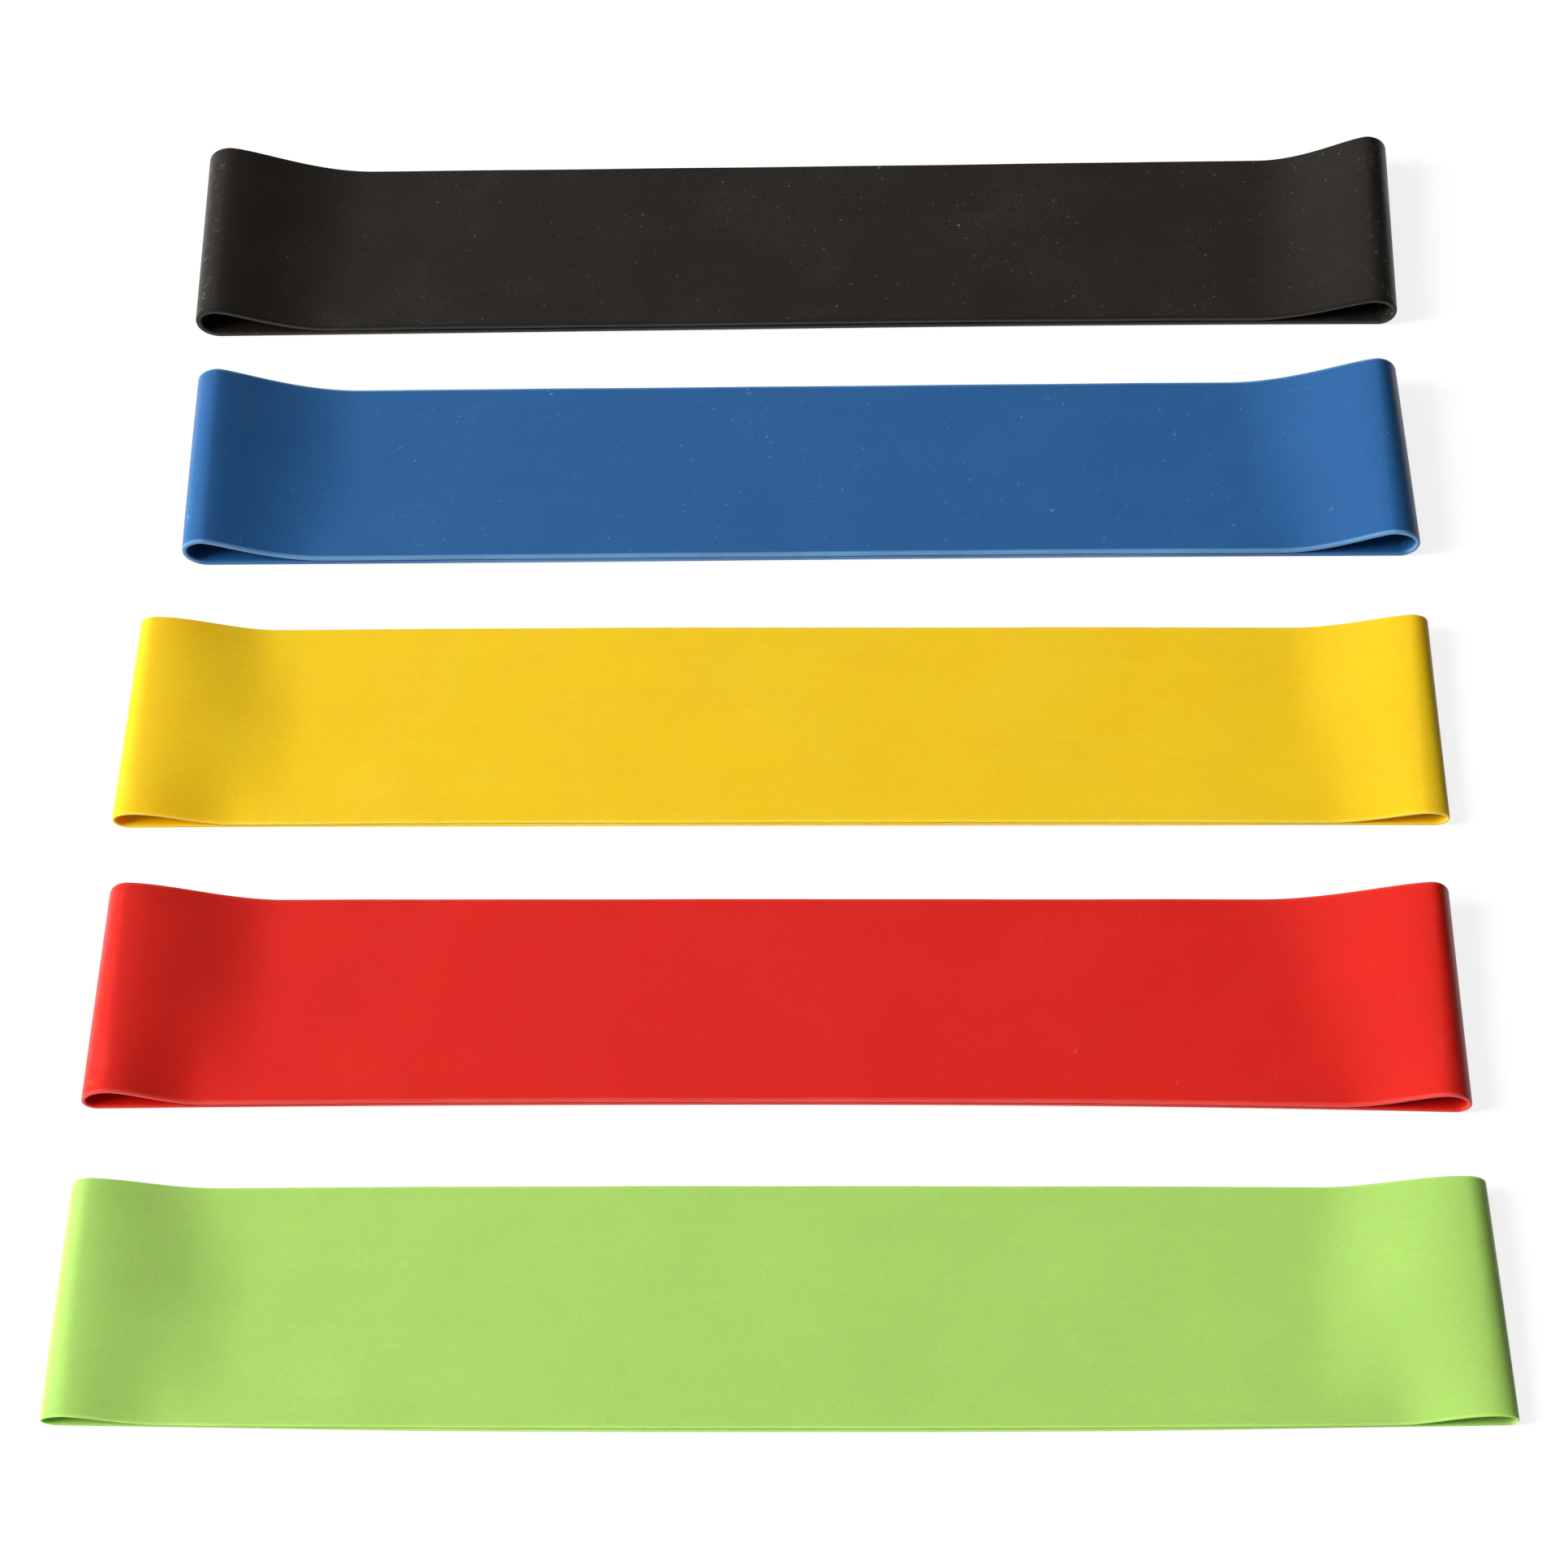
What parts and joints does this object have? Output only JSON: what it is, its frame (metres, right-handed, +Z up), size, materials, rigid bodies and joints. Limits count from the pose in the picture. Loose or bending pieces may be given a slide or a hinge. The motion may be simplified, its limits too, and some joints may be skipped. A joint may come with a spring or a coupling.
{
  "type": "resistance band set",
  "caption": "Row of flat rubber loop bands in graded thicknesses, each lying pressed flat with a teardrop fold at both ends, for resistance exercise and rehabilitation.",
  "frame": {"origin": "middle of the floor that the row of bands covers, on the surface that it lies on", "axes": "+X along the bands to the right, +Y across the row from the green band to the black one, +Z up"},
  "size_m": [0.257, 0.3298, 0.0092],
  "materials": {
    "black_rubber": "matt, lightly dusted",
    "blue_rubber": "satin",
    "yellow_rubber": "satin",
    "red_rubber": "satin",
    "green_rubber": "satin"
  },
  "bodies": {
    "yellow_band_held_end": {"yellow_band_left_fold": "yellow_rubber", "yellow_band_bottom_ply": "yellow_rubber"},
    "yellow_band_pulled_end": {"yellow_band_right_fold": "yellow_rubber", "yellow_band_top_ply": "yellow_rubber"},
    "black_band_held_end": {"black_band_left_fold": "black_rubber", "black_band_bottom_ply": "black_rubber"},
    "black_band_pulled_end": {"black_band_right_fold": "black_rubber", "black_band_top_ply": "black_rubber"},
    "blue_band_held_end": {"blue_band_left_fold": "blue_rubber", "blue_band_bottom_ply": "blue_rubber"},
    "blue_band_pulled_end": {"blue_band_right_fold": "blue_rubber", "blue_band_top_ply": "blue_rubber"},
    "red_band_held_end": {"red_band_left_fold": "red_rubber", "red_band_bottom_ply": "red_rubber"},
    "red_band_pulled_end": {"red_band_right_fold": "red_rubber", "red_band_top_ply": "red_rubber"},
    "green_band_held_end": {"green_band_left_fold": "green_rubber", "green_band_bottom_ply": "green_rubber"},
    "green_band_pulled_end": {"green_band_right_fold": "green_rubber", "green_band_top_ply": "green_rubber"}
  },
  "joints": [
    {"name": "yellow_stretch", "type": "slide", "parent": "yellow_band_held_end", "child": "yellow_band_pulled_end", "axis": [1, 0.0017, 0], "range_m": [0, 0.375], "stiffness_N_per_m": 155},
    {"name": "black_lift", "type": "slide", "parent": "yellow_band_held_end", "child": "black_band_held_end", "axis": [0, 0, 1], "range_m": [0, 0.15]},
    {"name": "black_stretch", "type": "slide", "parent": "black_band_held_end", "child": "black_band_pulled_end", "axis": [0.9998, 0.0192, 0], "range_m": [0, 0.375], "stiffness_N_per_m": 345},
    {"name": "blue_lift", "type": "slide", "parent": "yellow_band_held_end", "child": "blue_band_held_end", "axis": [0, 0, 1], "range_m": [0, 0.15]},
    {"name": "blue_stretch", "type": "slide", "parent": "blue_band_held_end", "child": "blue_band_pulled_end", "axis": [0.9999, 0.014, 0], "range_m": [0, 0.375], "stiffness_N_per_m": 280},
    {"name": "red_lift", "type": "slide", "parent": "yellow_band_held_end", "child": "red_band_held_end", "axis": [0, 0, 1], "range_m": [0, 0.15]},
    {"name": "red_stretch", "type": "slide", "parent": "red_band_held_end", "child": "red_band_pulled_end", "axis": [1, 0, 0], "range_m": [0, 0.375], "stiffness_N_per_m": 220},
    {"name": "green_lift", "type": "slide", "parent": "yellow_band_held_end", "child": "green_band_held_end", "axis": [0, 0, 1], "range_m": [0, 0.15]},
    {"name": "green_stretch", "type": "slide", "parent": "green_band_held_end", "child": "green_band_pulled_end", "axis": [1, 0, 0], "range_m": [0, 0.375], "stiffness_N_per_m": 110}
  ]
}
